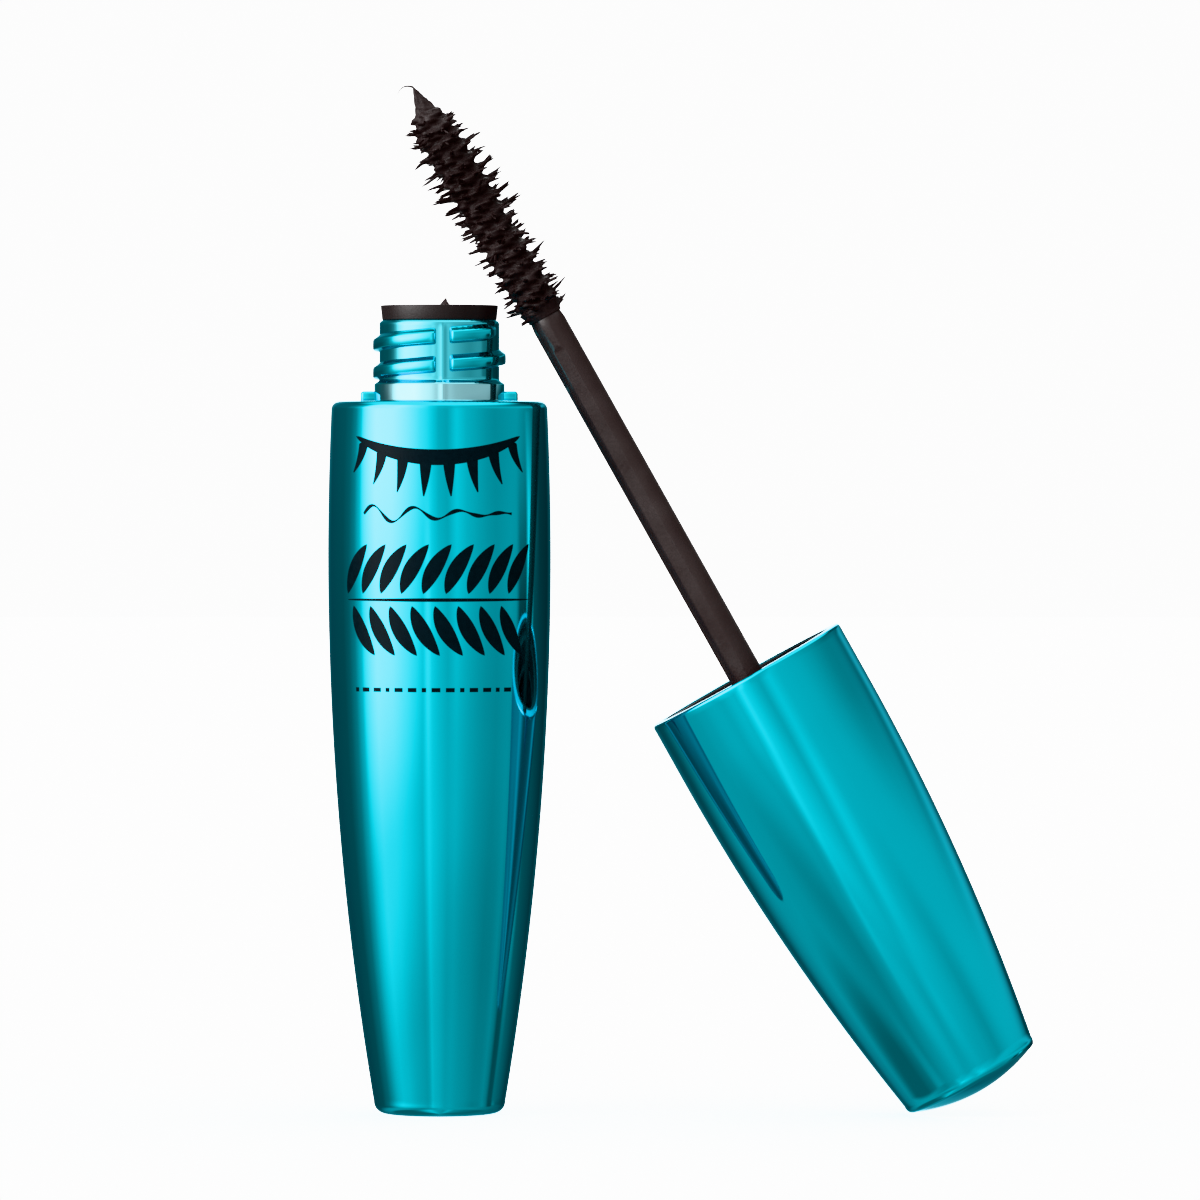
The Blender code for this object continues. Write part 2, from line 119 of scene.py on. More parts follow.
def ring_faces(rings, around, base=0, capped=True, joined=False):
    """Quads between rings of points stored one after another from base on.

    Capped rings get a lid at both ends; joined ones run on from the last ring to the first.
    """
    faces = []
    for i in range(rings if joined else rings - 1):
        a, b = base + i * around, base + (i + 1) % rings * around
        for k in range(around):
            n = (k + 1) % around
            faces.append((a + k, a + n, b + n, b + k))
    if capped:
        faces.append(tuple(base + k for k in range(around)))
        faces.append(tuple(base + (rings - 1) * around + k for k in range(around)))
    return faces


def turned_mesh(name, outline, segments=192, closed=False, shape=None):
    """A turned body from (radius, height) points; shape(radius, height, angles) may vary it."""
    angles = np.arange(segments) * 2 * pi / segments
    rings = []
    for r, z in outline:
        radii = np.full(segments, r) if shape is None else shape(r, z, angles)
        rings.append(np.stack([radii * np.cos(angles), radii * np.sin(angles),
                               np.full(segments, z)], axis=1))
    faces = ring_faces(len(outline), segments, capped=False, joined=closed)
    return mesh_from(name, np.concatenate(rings), faces)


def arc(centre_r, centre_z, radius, start_deg, end_deg, steps):
    """Points of a round stretch of an outline."""
    angles = (radians(start_deg + (end_deg - start_deg) * i / steps) for i in range(steps + 1))
    return [(centre_r + radius * cos(a), centre_z + radius * sin(a)) for a in angles]


def spread(start, end, count):
    """Evenly spaced numbers from start to end, both included."""
    return [start + (end - start) * i / (count - 1) for i in range(count)]


def rounded(outline, radius, steps=4, closed=False):
    """The outline with each corner turned into a small arc-like blend of quadratic points."""
    points = [Vector(p) for p in outline]
    count = len(points)
    result = []
    for i, point in enumerate(points):
        if not closed and i in (0, count - 1):
            result.append(tuple(point))
            continue
        before, after = points[i - 1] - point, points[(i + 1) % count] - point
        cut_before = min(radius, before.length * 0.45)
        cut_after = min(radius, after.length * 0.45)
        start = point + before.normalized() * cut_before
        end = point + after.normalized() * cut_after
        for t in spread(0.0, 1.0, steps + 1):
            place = start * (1 - t) ** 2 + point * 2 * t * (1 - t) + end * t * t
            result.append(tuple(place))
    return result


def tube_mesh(name, stations, sides=10):
    """Closed tube through (centre, radius, squash) stations, in millimetres."""
    verts = []
    for index, (centre, radius, squash) in enumerate(stations):
        ahead = stations[min(index + 1, len(stations) - 1)][0]
        behind = stations[max(index - 1, 0)][0]
        along = (ahead - behind).normalized()
        if index == 0:
            side = Vector((1, 0, 0)) if abs(along.x) < 0.9 else Vector((0, 0, 1))
        side = (side - along * side.dot(along)).normalized()
        other = along.cross(side)
        for k in range(sides):
            a = 2 * pi * k / sides
            verts.append(centre + side * radius * cos(a) + other * radius * squash * sin(a))
    return mesh_from(name, [tuple(v) for v in verts], ring_faces(len(stations), sides))


# ---- materials ----------------------------------------------------------------------------
class Nodes:
    """A small wrapper for building a material's node tree."""

    def __init__(self, name):
        self.mat = bpy.data.materials.new(name)
        self.mat.use_nodes = True
        self.tree = self.mat.node_tree
        self.shader = self.tree.nodes["Principled BSDF"]
        self.coords = self.tree.nodes.new("ShaderNodeTexCoord").outputs["Object"]

    def set(self, **values):
        """Sets the shader's own sockets; an underscore stands for a space."""
        for key, value in values.items():
            self.shader.inputs[key.replace("_", " ")].default_value = value
        return self

    def link(self, source, target):
        """Joins an output to an input."""
        self.tree.links.new(source, target)

    def noise(self, scale, detail=3.0, rough=0.55, stretch=(1, 1, 1)):
        """Soft noise over the object's own coordinates, in metres."""
        mapping = self.tree.nodes.new("ShaderNodeMapping")
        mapping.inputs["Scale"].default_value = stretch
        self.link(self.coords, mapping.inputs["Vector"])
        node = self.tree.nodes.new("ShaderNodeTexNoise")
        node.inputs["Scale"].default_value = scale
        node.inputs["Detail"].default_value = detail
        node.inputs["Roughness"].default_value = rough
        self.link(mapping.outputs["Vector"], node.inputs["Vector"])
        return node.outputs["Fac"]

    def ramp(self, fac, *stops):
        """Colour ramp with (position, colour) stops; a colour is a grey number or a triple."""
        node = self.tree.nodes.new("ShaderNodeValToRGB")
        elements = node.color_ramp.elements
        while len(elements) < len(stops):
            elements.new(0.5)
        for element, (position, colour) in zip(elements, stops):
            element.position = position
            rgb = (colour,) * 3 if isinstance(colour, (int, float)) else colour
            element.color = (*rgb, 1.0)
        self.link(fac, node.inputs["Fac"])
        return node.outputs["Color"]

    def above(self, height, blur, below, colour):
        """Below's colour, turning into another one over a blur above a height."""
        split = self.tree.nodes.new("ShaderNodeSeparateXYZ")
        self.link(self.coords, split.inputs[0])
        place = self.tree.nodes.new("ShaderNodeMapRange")
        place.inputs["From Min"].default_value = height
        place.inputs["From Max"].default_value = height + blur
        self.link(split.outputs["Z"], place.inputs["Value"])
        mix = self.tree.nodes.new("ShaderNodeMix")
        mix.data_type = "RGBA"
        self.link(place.outputs["Result"], mix.inputs["Factor"])
        self.link(below, mix.inputs["A"])
        mix.inputs["B"].default_value = (*colour, 1.0)
        return mix.outputs["Result"]

    def bump(self, height, distance, strength=1.0):
        """Small relief of the surface, distance in metres."""
        node = self.tree.nodes.new("ShaderNodeBump")
        node.inputs["Distance"].default_value = distance
        node.inputs["Strength"].default_value = strength
        self.link(height, node.inputs["Height"])
        self.link(node.outputs["Normal"], self.shader.inputs["Normal"])


def metallised(name, tint, *painted_pale_bands):
    """Vacuum-metallised plastic: a tinted mirror under clear lacquer, faintly wavy.

    Bands of (height in metres, tint) replace the tint above those heights with paler tints: a painted
    whitening that stands in for the bright light on the collar and neck.
    """
    n = Nodes(name).set(Metallic=1.0, Coat_Weight=0.2, Coat_Roughness=0.03, Coat_IOR=1.5)
    n.shader.inputs["Specular Tint"].default_value = (0.05, 0.8, 0.95, 1.0)
    shade = tuple(c * 0.94 for c in tint)
    colour = n.ramp(n.noise(60.0, 2.0), (0.3, shade), (0.7, tint))
    # paler tints above the given heights: painted whitening from the bright light there
    for height, pale in painted_pale_bands:
        colour = n.above(height, 0.0004, colour, pale)
    n.link(colour, n.shader.inputs["Base Color"])
    n.link(n.ramp(n.noise(350.0, 4.0), (0.35, 0.045), (0.75, 0.08)), n.shader.inputs["Roughness"])
    n.bump(n.noise(55.0, 1.0, stretch=(1, 1, 0.35)), 0.00004, 0.35)
    return n.mat


def satin_plastic(name, dark, light, rough_low, rough_high, gloss, grain=0.00003):
    """Moulded black-brown plastic with a fine grain and rubbed patches."""
    n = Nodes(name).set(Specular_IOR_Level=gloss)
    patches = n.noise(220.0, 5.0)
    n.link(n.ramp(patches, (0.35, dark), (0.72, light)), n.shader.inputs["Base Color"])
    n.link(n.ramp(patches, (0.3, rough_low), (0.7, rough_high)), n.shader.inputs["Roughness"])
    n.bump(n.noise(2600.0, 2.0), grain, 0.5)
    return n.mat


def wet_paste(name, gloss):
    """Half-dried product: near black with a warm cast, lumpy, glossy only in places."""
    n = Nodes(name).set(Specular_IOR_Level=gloss)
    lumps = n.noise(1400.0, 5.0, 0.65)
    n.link(n.ramp(lumps, (0.3, (0.017, 0.013, 0.013)), (0.75, (0.044, 0.035, 0.035))),
           n.shader.inputs["Base Color"])
    n.link(n.ramp(n.noise(900.0, 4.0), (0.3, 0.22), (0.7, 0.6)), n.shader.inputs["Roughness"])
    n.bump(lumps, 0.00016, 0.8)
    return n.mat


def printed_ink(name):
    """Dull blue-black ink with a fine speckle."""
    n = Nodes(name).set(Specular_IOR_Level=0.08)
    speckle = n.noise(1800.0, 3.0)
    n.link(n.ramp(speckle, (0.3, (0.002, 0.005, 0.007)), (0.8, (0.004, 0.009, 0.012))),
           n.shader.inputs["Base Color"])
    n.link(n.ramp(speckle, (0.3, 0.3), (0.7, 0.42)), n.shader.inputs["Roughness"])
    return n.mat


def twisted_wire(name):
    """Bare drawn steel with fine streaks along it."""
    n = Nodes(name).set(Metallic=1.0)
    drawn = n.noise(900.0, 3.0, stretch=(1, 1, 0.1))
    n.link(n.ramp(drawn, (0.3, (0.35, 0.34, 0.33)), (0.7, (0.55, 0.54, 0.52))),
           n.shader.inputs["Base Color"])
    n.link(n.ramp(drawn, (0.3, 0.25), (0.7, 0.45)), n.shader.inputs["Roughness"])
    return n.mat


TEAL = (0.0, 0.48, 0.6)
# Above the shoulder and above the collar the tint turns paler: painted whitening from the bright light
# on the collar and neck.
MAT_BOTTLE = metallised("metallised_bottle", TEAL,
                        ((SHOULDER_Z - 0.2) * MM, (0.27, 0.55, 0.6)),
                        ((COLLAR_TOP_Z - 0.35) * MM, (0.08, 0.5, 0.59)))
MAT_THREAD = metallised("metallised_thread", (0.02, 0.5, 0.61))
MAT_CAP = metallised("metallised_cap", TEAL)
MAT_WIPER = satin_plastic("wiper_plastic", (0.02, 0.016, 0.016), (0.027, 0.022, 0.022),
                          rough_low=0.3, rough_high=0.4, gloss=0.3)
MAT_LINER = satin_plastic("liner_plastic", (0.02, 0.018, 0.019), (0.028, 0.026, 0.027),
                          rough_low=0.35, rough_high=0.5, gloss=0.2)
MAT_ROD = satin_plastic("rod_plastic", (0.032, 0.0235, 0.023), (0.044, 0.0345, 0.034),
                        rough_low=0.2, rough_high=0.28, gloss=0.3)
MAT_PASTE = wet_paste("mascara_paste", gloss=0.12)
MAT_BRISTLE = wet_paste("bristle_nylon", gloss=0.12)
MAT_INK = printed_ink("printed_ink")
MAT_WIRE = twisted_wire("brush_wire_steel")


# ---- bottle -------------------------------------------------------------------------------
def bottle_radius(z):
    """The barrel-shaped body's outer radius at a height."""
    return BOTTLE_R - BOTTLE_TAPER * (z - BOTTLE_R_HEIGHT) ** 2


def smooth(x):
    """0 to 1 with a soft start and end as x goes from 0 to 1."""
    x = np.clip(x, 0.0, 1.0)
    return x * x * (3 - 2 * x)


def neck_shape(r, z, angles):
    """The neck with the moulding lines that run up its front and its back."""
    radii = np.full_like(angles, r)
    if SHOULDER_Z < z < NECK_TOP_Z - 0.1 and r > NECK_BORE_R + 0.5:
        to_parting = np.abs((angles - PARTING + pi / 2) % pi - pi / 2) * NECK_R
        fade = smooth((NECK_TOP_Z - 0.2 - z) / 0.7)
        radii = radii + 0.1 * fade * np.exp(-(to_parting / 0.27) ** 2)
    return radii


# Across the ridge: (height from its middle, share of the full rise); gentle above, steep below.
THREAD_PROFILE = ((-0.78, 0.0), (-0.72, 0.02), (-0.65, 0.18), (-0.59, 0.5), (-0.54, 0.8),
                  (-0.49, 0.95), (-0.42, 1.0), (0.0, 1.02), (0.36, 1.0), (0.43, 0.97),
                  (0.5, 0.9), (0.58, 0.76), (0.68, 0.54), (0.78, 0.34), (0.87, 0.18), (0.95, 0.07),
                  (0.99, 0.0))
THREAD_SINK = 0.12               # how far a ridge's foot goes into the neck
THREAD_RIDGES = 4                # each runs between the moulding lines, half a turn
THREAD_END_DEG = 708.0
THREAD_ROUND_OFF = 0.32
THREAD_FADE_DEG = 22.0           # over which the last ridge runs out
RIDGE_END_STEPS = (0.0, 0.4, 1.0, 1.8, 2.8)


def ridge_stations(length):
    """Degrees along a ridge, closer together at its rounded ends."""
    middle = np.arange(3.5, length - 3.4, 0.8)
    return sorted({*RIDGE_END_STEPS, *middle, *(length - step for step in RIDGE_END_STEPS)})


def ridge_section(start, along, length, fading):
    """Points across a ridge that starts at start degrees, along degrees further on."""
    inset = radians(min(along, length - along)) * THREAD_CREST_R
    round_off = (1 - (1 - min(1.0, inset / THREAD_ROUND_OFF)) ** 2) ** 0.5
    fade = smooth((length - along) / THREAD_FADE_DEG) if fading else 1.0
    high = (THREAD_CREST_R - NECK_R) * (0.12 + 0.88 * round_off) * (0.1 + 0.9 * fade)
    wide = (0.72 + 0.28 * round_off) * (0.5 + 0.5 * fade)
    a = radians(start + along)
    z = THREAD_FRONT_Z + PITCH * (start + along - 270) / 360
    points = []
    for place, rise in THREAD_PROFILE:
        r = NECK_R + high * rise if rise > 0 else NECK_R - THREAD_SINK
        points.append((r * cos(a), r * sin(a), z + place * wide))
    return points


def make_threads():
    """The screw thread: ridges that stop short of the moulding lines, the last one fading out."""
    verts, faces = [], []
    gap = degrees(PARTING_GAP / 2 / THREAD_CREST_R)
    for index in range(THREAD_RIDGES):
        from_deg = 90 + PARTING_DEG + 180 * index
        start = from_deg + gap
        length = min(from_deg + 180, THREAD_END_DEG) - gap - start
        stations = ridge_stations(length)
        faces += ring_faces(len(stations), len(THREAD_PROFILE), base=len(verts))
        for along in stations:
            verts += ridge_section(start, along, length, fading=(index == THREAD_RIDGES - 1))
    mesh = mesh_from("neck_threads", verts, faces)
    finish_piece("neck_threads", mesh, MAT_THREAD, "bottle", sharp_deg=50)


def make_bottle():
    """Body, shoulder, collar and the neck under its thread as one hollow moulding."""
    corner_r = bottle_radius(BASE_ROUND) - BASE_ROUND
    edge_r = bottle_radius(SHOULDER_Z - SHOULDER_ROUND) - SHOULDER_ROUND
    inner_z = SHOULDER_Z - BOTTLE_WALL
    outline = [(0.0, 0.0), (corner_r * 0.5, 0.0), (corner_r - 0.2, 0.0)]
    outline += arc(corner_r, BASE_ROUND, BASE_ROUND, -90, 0, 12)
    outline += [(bottle_radius(z), z) for z in spread(BASE_ROUND + 0.5, SHOULDER_Z - 1.2, 70)]
    outline += arc(edge_r, SHOULDER_Z - SHOULDER_ROUND, SHOULDER_ROUND, 0, 90, 12)
    neck = [(edge_r - 0.3, SHOULDER_Z), (COLLAR_R + 0.3, SHOULDER_Z)]
    neck += arc(COLLAR_R + 0.2, SHOULDER_Z + 0.2, 0.2, 270, 180, 4)
    neck += [(COLLAR_R, COLLAR_TOP_Z - 0.28), (COLLAR_R - 0.03, COLLAR_TOP_Z - 0.2),
             (NECK_R + 0.16, COLLAR_TOP_Z + 0.04), (NECK_R + 0.04, COLLAR_TOP_Z + 0.14)]
    neck += [(NECK_R, z) for z in spread(COLLAR_TOP_Z + 0.3, NECK_TOP_Z - 0.32, 24)]
    neck += [(NECK_R - 0.03, NECK_TOP_Z - 0.24), (NECK_R - 0.09, NECK_TOP_Z - 0.14),
             (NECK_R - 0.18, NECK_TOP_Z - 0.05), (NECK_R - 0.3, NECK_TOP_Z)]
    outline += neck + [(NECK_BORE_R, NECK_TOP_Z), (NECK_BORE_R, inner_z)]
    outline += [(bottle_radius(z) - BOTTLE_WALL, z) for z in spread(inner_z - 2.0, FLOOR_Z + 1.5, 24)]
    outline += [(bottle_radius(FLOOR_Z) - BOTTLE_WALL - 1.3, FLOOR_Z), (0.0, FLOOR_Z)]
    mesh = turned_mesh("bottle_body", outline, 360, shape=neck_shape)
    finish_piece("bottle_body", mesh, MAT_BOTTLE, "bottle", ["bottle"])


def bevelled_block(name, size, place, edge):
    """A block with round edges, in millimetres."""
    bm = bmesh.new()
    bmesh.ops.create_cube(bm, size=1.0)
    bmesh.ops.scale(bm, vec=Vector(size) * MM, verts=bm.verts)
    bmesh.ops.bevel(bm, geom=bm.edges[:], offset=edge * MM, segments=5, affect="EDGES", profile=0.5)
    bmesh.ops.translate(bm, vec=Vector(place) * MM, verts=bm.verts)
    mesh = bpy.data.meshes.new(name)
    bm.to_mesh(mesh)
    bm.free()
    return mesh


def make_lugs():
    """The two lugs on the shoulder, sunk a little into it and into the collar."""
    inner = COLLAR_R - 0.3
    sink = 0.2
    middle_z = SHOULDER_Z + (LUG_HEIGHT - sink) / 2
    for side, word in ((-1, "left"), (1, "right")):
        name = f"neck_lug_{word}"
        mesh = bevelled_block(name, (LUG_R - inner, LUG_WIDTH, LUG_HEIGHT + sink),
                              (side * (LUG_R + inner) / 2, 0, middle_z), 0.3)
        finish_piece(name, mesh, MAT_THREAD, "bottle")


# ---- printed motif ------------------------------------------------------------------------
INK_LIFT, INK_SINK = 0.012, 0.03  # the ink's skin above and below the bottle's surface
LID_Z, WAVE_Z, STEM_Z, DASH_Z = 65.6, 60.0, 51.5, 42.6
LEAF_START, LEAF_END = 0.6, 5.5  # how far from the stem a leaf begins and ends
LEAF_WIDTH, LEAF_BOW = 1.55, -0.7


def on_bottle(u, z, lift):
    """A point on the bottle's front at u millimetres round from its middle, and height z."""
    radius = bottle_radius(z)
    angle = u / BOTTLE_R
    return ((radius + lift) * sin(angle), -(radius + lift) * cos(angle), z)


def stroke_points(line, width, steps):
    """Left and right edges of a brush-like stroke along line(t), of width(t)."""
    edges = []
    for i in range(steps + 1):
        t = i / steps
        here = Vector(line(t))
        along = Vector(line(min(1.0, t + 0.01))) - Vector(line(max(0.0, t - 0.01)))
        across = Vector((-along.y, along.x)).normalized() * width(t) / 2
        edges.append((here - across, here + across))
    return edges


def print_strokes(name, strokes, across=4):
    """Inked strokes as thin raised skins that follow the bottle's surface."""
    verts, faces = [], []
    for line, width, steps in strokes:
        base = len(verts)
        edges = stroke_points(line, width, steps)
        rows = across + 1
        for left, right in edges:
            for k in range(rows):
                u, z = left.lerp(right, k / across)
                verts.append(on_bottle(u, z, INK_LIFT))
                verts.append(on_bottle(u, z, -INK_SINK))

        def top(i, k):
            """Index of the outer point k of row i; the inner one is next to it."""
            return base + 2 * (i * rows + k)

        for i in range(steps):
            for k in range(across):
                quad = (top(i, k), top(i, k + 1), top(i + 1, k + 1), top(i + 1, k))
                faces.append(quad)
                faces.append(tuple(v + 1 for v in reversed(quad)))
            for k in (0, across):
                faces.append((top(i, k), top(i + 1, k), top(i + 1, k) + 1, top(i, k) + 1))
        for i in (0, steps):
            for k in range(across):
                faces.append((top(i, k), top(i, k + 1), top(i, k + 1) + 1, top(i, k) + 1))
    mesh = mesh_from(name, verts, faces)
    finish_piece(name, mesh, MAT_INK, "bottle", sharp_deg=30)


def bezier(a, b, c):
    """A quadratic curve from a to c, drawn towards b."""
    return lambda t: (a[0] * (1 - t) ** 2 + 2 * b[0] * t * (1 - t) + c[0] * t * t,
                      a[1] * (1 - t) ** 2 + 2 * b[1] * t * (1 - t) + c[1] * t * t)


def round_start(t, width, point=0.12):
    """Width of a stroke with a rounded foot that tapers to a thin tip."""
    foot = min(1.0, t / 0.08) ** 0.5
    return max(0.02, width * foot * (1 - (1 - point) * t ** 1.6))


def leaf(start, end, bow, width):
    """A stroke that swells in its middle and comes to a point at both ends."""
    middle = ((start[0] + end[0]) / 2 + bow, (start[1] + end[1]) / 2)
    return (bezier(start, middle, end), lambda t: 0.03 + width * sin(pi * t) ** 0.75, 22)


def sweep(half):
    """A run from -half to half as t goes from 0 to 1."""
    return lambda t: half * (2 * t - 1)


def leaf_row(places, side):
    """Slanting leaves on one side of the stem: 1 above it, -1 below it."""
    return [leaf((u - 1.5, STEM_Z + side * LEAF_START), (u + 1.3, STEM_Z + side * LEAF_END),
                 LEAF_BOW, LEAF_WIDTH) for u in places]


def make_motif():
    """A closed eye with its lashes, a flowing line, a sprig of leaves and a row of dashes."""
    def lid(u):
        """Height of the eyelid's line."""
        return LID_Z + 0.024 * u * u

    run = sweep(9.3)
    eye = [(lambda t: (run(t), lid(run(t))), lambda t: 0.06 + 1.5 * sin(pi * t) ** 0.6, 60)]
    for u in spread(-8.2, 8.2, 8):
        foot = (u, lid(u) - 0.1)
        tip = (u * 1.17, lid(u) - 3.9 + 0.012 * u * u)
        bend = (u * 1.02, (foot[1] + tip[1]) / 2)
        eye.append((bezier(foot, bend, tip), lambda t: round_start(t, 1.25, 0.1), 20))
    print_strokes("print_eye", eye)

    wave = (lambda t: (sweep(8.0)(t), WAVE_Z + 0.85 * sin(7 * pi * t) * (0.55 + 0.45 * cos(3 * t))),
            lambda t: 0.16 + 0.26 * sin(7 * pi * t + 0.8) ** 2, 150)
    print_strokes("print_wave", [wave], across=2)

    print_strokes("print_leaves_upper", leaf_row(spread(-8.9, 9.1, 9), 1))
    print_strokes("print_leaves_lower", leaf_row(spread(-8.0, 8.2, 8), -1))
    stem = (lambda t: (sweep(10.4)(t), STEM_Z), lambda t: 0.05 + 0.3 * sin(pi * t) ** 0.5, 60)
    print_strokes("print_stem", [stem], across=2)

    dashes = []
    at, gap = -9.4, 0.55
    for i in range(14):
        length = 0.9 if i % 3 else 0.45
        dashes.append((bezier((at, DASH_Z), (at + length / 2, DASH_Z), (at + length, DASH_Z)),
                       lambda t: 0.42, 4))
        at += length + gap
    print_strokes("print_dashes", dashes, across=2)


# ---- wiper and product at the mouth -------------------------------------------------------
WIPER_MOUTH_R, WIPER_BORE_R, WIPER_SLEEVE_R = 4.3, 3.95, 4.85
LIP_BORE_R, LIP_R, LIP_CONE = 2.1, 2.55, 5.0


def make_wiper():
    """The press-in wiper: a flange on the neck's top, a sleeve, and a cone down to its lip."""
    lo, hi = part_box("wiper")
    top, lip_z = hi.z / MM, lo.z / MM
    flange_r = hi.x / MM
    cone_top = lip_z + LIP_CONE
    outline = [(flange_r - 0.26, NECK_TOP_Z + 0.01), (flange_r - 0.1, top), (WIPER_MOUTH_R, top),
               (WIPER_BORE_R, top - 0.9), (WIPER_BORE_R, cone_top), (LIP_BORE_R, lip_z + 0.7),
               (LIP_BORE_R, lip_z), (LIP_R, lip_z), (WIPER_SLEEVE_R, cone_top - 0.4),
               (WIPER_SLEEVE_R, NECK_TOP_Z + 0.02)]
    mesh = turned_mesh("wiper_insert", rounded(outline, 0.1, 4, closed=True), 160, closed=True)
    finish_piece("wiper_insert", mesh, MAT_WIPER, "bottle", ["wiper"])


def make_rim_speck():
    """A small dried peak of product on the wiper's rim."""
    lo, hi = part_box("rim_residue")
    foot = Vector(((lo.x + hi.x) / 2, (lo.y + hi.y) / 2, lo.z)) / MM
    stations = []
    for t in spread(0.0, 1.0, 9):
        radius = 0.46 * (1 - t) ** 1.15 + 0.03
        centre = foot + Vector((-0.05 + 0.12 * t * t, 0.0, -0.06 + 0.68 * t))
        stations.append((centre, radius, 0.75))
    mesh = tube_mesh("rim_speck", stations, 12)
    finish_piece("rim_speck", mesh, MAT_PASTE, "bottle", ["rim_residue"], 60)


# ---- cap ----------------------------------------------------------------------------------
def cap_radius(depth):
    """The cap's outer radius at a depth below its mouth."""
    return CAP_R - CAP_TAPER * max(0.0, depth - CAP_R_DEPTH) ** 2


def make_cap():
    """The metallised outer shell: domed end, tapering wall, round mouth edge and plain inside."""
    corner_depth = CAP_LENGTH - CAP_DOME
    dome = [(r, -(CAP_LENGTH - CAP_DOME * (r / CAP_DOME_R) ** 2)) for r in spread(0.0, CAP_DOME_R, 20)]
    wall_depth = corner_depth - 0.9
    wall = [(cap_radius(d), -d) for d in spread(wall_depth, 0.9, 70)]
    start, end = Vector(dome[-1]), Vector(wall[0])
    turn = Vector((end.x + 0.06, start.y + 0.12))
    corner = [tuple(start * (1 - t) ** 2 + turn * 2 * t * (1 - t) + end * t * t)
              for t in spread(0.08, 0.92, 9)]
    mouth = arc(CAP_R - CAP_EDGE, -CAP_EDGE, CAP_EDGE, 0, 90, 8)
    inside = [(CAP_R - CAP_WALL + 0.05, 0.0), (CAP_R - CAP_WALL, -0.05)]
    inside += [(cap_radius(d) - CAP_WALL, -d) for d in spread(CAP_R_DEPTH, wall_depth - 1.5, 20)]
    inner_end = -(CAP_LENGTH - CAP_DOME - CAP_WALL)
    outline = dome + corner + wall + mouth + inside
    outline += [(CAP_DOME_R - 2.2, inner_end), (0.0, inner_end - 0.5)]
    mesh = turned_mesh("cap_outer", outline, 360)
    finish_piece("cap_outer", mesh, MAT_CAP, "wand", ["cap_shell"], matrix=WAND)


def make_cap_liner():
    """The inner cap: a mouth ring, a threaded bore, a web to the shell and the rod's socket."""
    ring_r = CAP_R - CAP_WALL - 0.1
    web_r = cap_radius(LINER_WEB) - CAP_WALL - 0.1
    outline = [(LINER_SOCKET_R, -LINER_FLOOR), (LINER_BORE_R, -LINER_FLOOR), (LINER_BORE_R, -1.4),
               (LINER_MOUTH_R, -1.4), (LINER_MOUTH_R, -0.15), (ring_r, -0.15), (ring_r, -2.0),
               (LINER_SKIRT_R, -2.0), (LINER_SKIRT_R, -LINER_FLOOR), (web_r, -LINER_FLOOR),
               (web_r, -LINER_WEB), (LINER_SOCKET_OUTER_R, -LINER_WEB),
               (LINER_SOCKET_OUTER_R, -LINER_END), (LINER_SOCKET_R, -LINER_END)]
    mesh = turned_mesh("cap_inner", rounded(outline, 0.15, 3, closed=True), 144, closed=True)
    finish_piece("cap_inner", mesh, MAT_LINER, "wand", ["cap_liner"], matrix=WAND)


def make_liner_thread():
    """The ridge inside the liner that runs between the neck's ridges."""
    steps, fading = 120, 8
    root_r = LINER_BORE_R + 0.05
    verts = []
    for i in range(steps + 1):
        a = radians(-135 + 315 * i / steps)
        fade = max(0.1, min(1.0, i / fading, (steps - i) / fading))
        crest_r = root_r - (LINER_BORE_R - LINER_THREAD_R) * fade
        z = -5.4 + PITCH * a / (2 * pi)
        for r, dz in ((root_r, -0.6), (crest_r, -0.3), (crest_r, 0.3), (root_r, 0.6)):
            verts.append((r * cos(a), r * sin(a), z + dz))
    mesh = mesh_from("cap_inner_thread", verts, ring_faces(steps + 1, 4))
    finish_piece("cap_inner_thread", mesh, MAT_LINER, "wand", matrix=WAND)


# ---- rod ----------------------------------------------------------------------------------
ROD_FLAT_AT = radians(255)       # the flats face a little left of the front, and opposite
ROD_FLAT_DEPTH = 0.11
ROD_PLAIN_END = 3.4              # the flats stop this far short of the rod's end
ROD_FLAT_RUN_OUT = 0.7           # the length over which a flat rises to the round


def rod_shape(r, z, angles):
    """The rod with a shallow flat down each of two sides, below its plain end."""
    radii = np.full_like(angles, r)
    if z > 0.0 and r > 1.0:
        turn = np.abs((angles - ROD_FLAT_AT + pi / 2) % pi - pi / 2)
        depth = ROD_FLAT_DEPTH * smooth((ROD_END - ROD_PLAIN_END - z) / ROD_FLAT_RUN_OUT)
        radii = np.minimum(radii, (r - depth) / np.maximum(np.cos(turn), 0.1))
    return radii


def make_rod():
    """The stem with its shank in the liner, its conical seal, and the wire's bore in its end."""
    flats_end = ROD_END - ROD_PLAIN_END
    outline = [(0.0, -ROD_SHANK_END), (ROD_SHANK_R, -ROD_SHANK_END), (ROD_SHANK_R, -9.9),
               (ROD_SEAL_R, -9.9), (ROD_SEAL_R, -9.0), (ROD_R, -6.9)]
    outline += [(ROD_R, z) for z in spread(-6.0, flats_end - 0.9, 24)]
    outline += [(ROD_R, z) for z in spread(flats_end - 0.75, flats_end + 0.1, 12)]
    outline += [(ROD_R, ROD_END - 1.2), (ROD_R - 0.1, ROD_END - 0.4), (ROD_R - 0.25, ROD_END),
                (WIRE_BORE_R, ROD_END), (WIRE_BORE_R, ROD_END - WIRE_BORE_DEPTH),
                (0.0, ROD_END - WIRE_BORE_DEPTH)]
    mesh = turned_mesh("wand_rod", outline, 168, shape=rod_shape)
    finish_piece("wand_rod", mesh, MAT_ROD, "wand", ["applicator_rod"], 16, matrix=WAND)


# ---- brush --------------------------------------------------------------------------------
def brush_axis(u):
    """Centre of the twisted wire at a distance u from the rod's end."""
    if u <= 0:
        lean = 0.0
    elif u < BRUSH_BEND:
        lean = u * u / (2 * BRUSH_BEND)
    else:
        lean = u - BRUSH_BEND / 2
    return Vector((-tan(radians(BRUSH_LEAN_DEG)) * lean, 0.0, ROD_END + u))


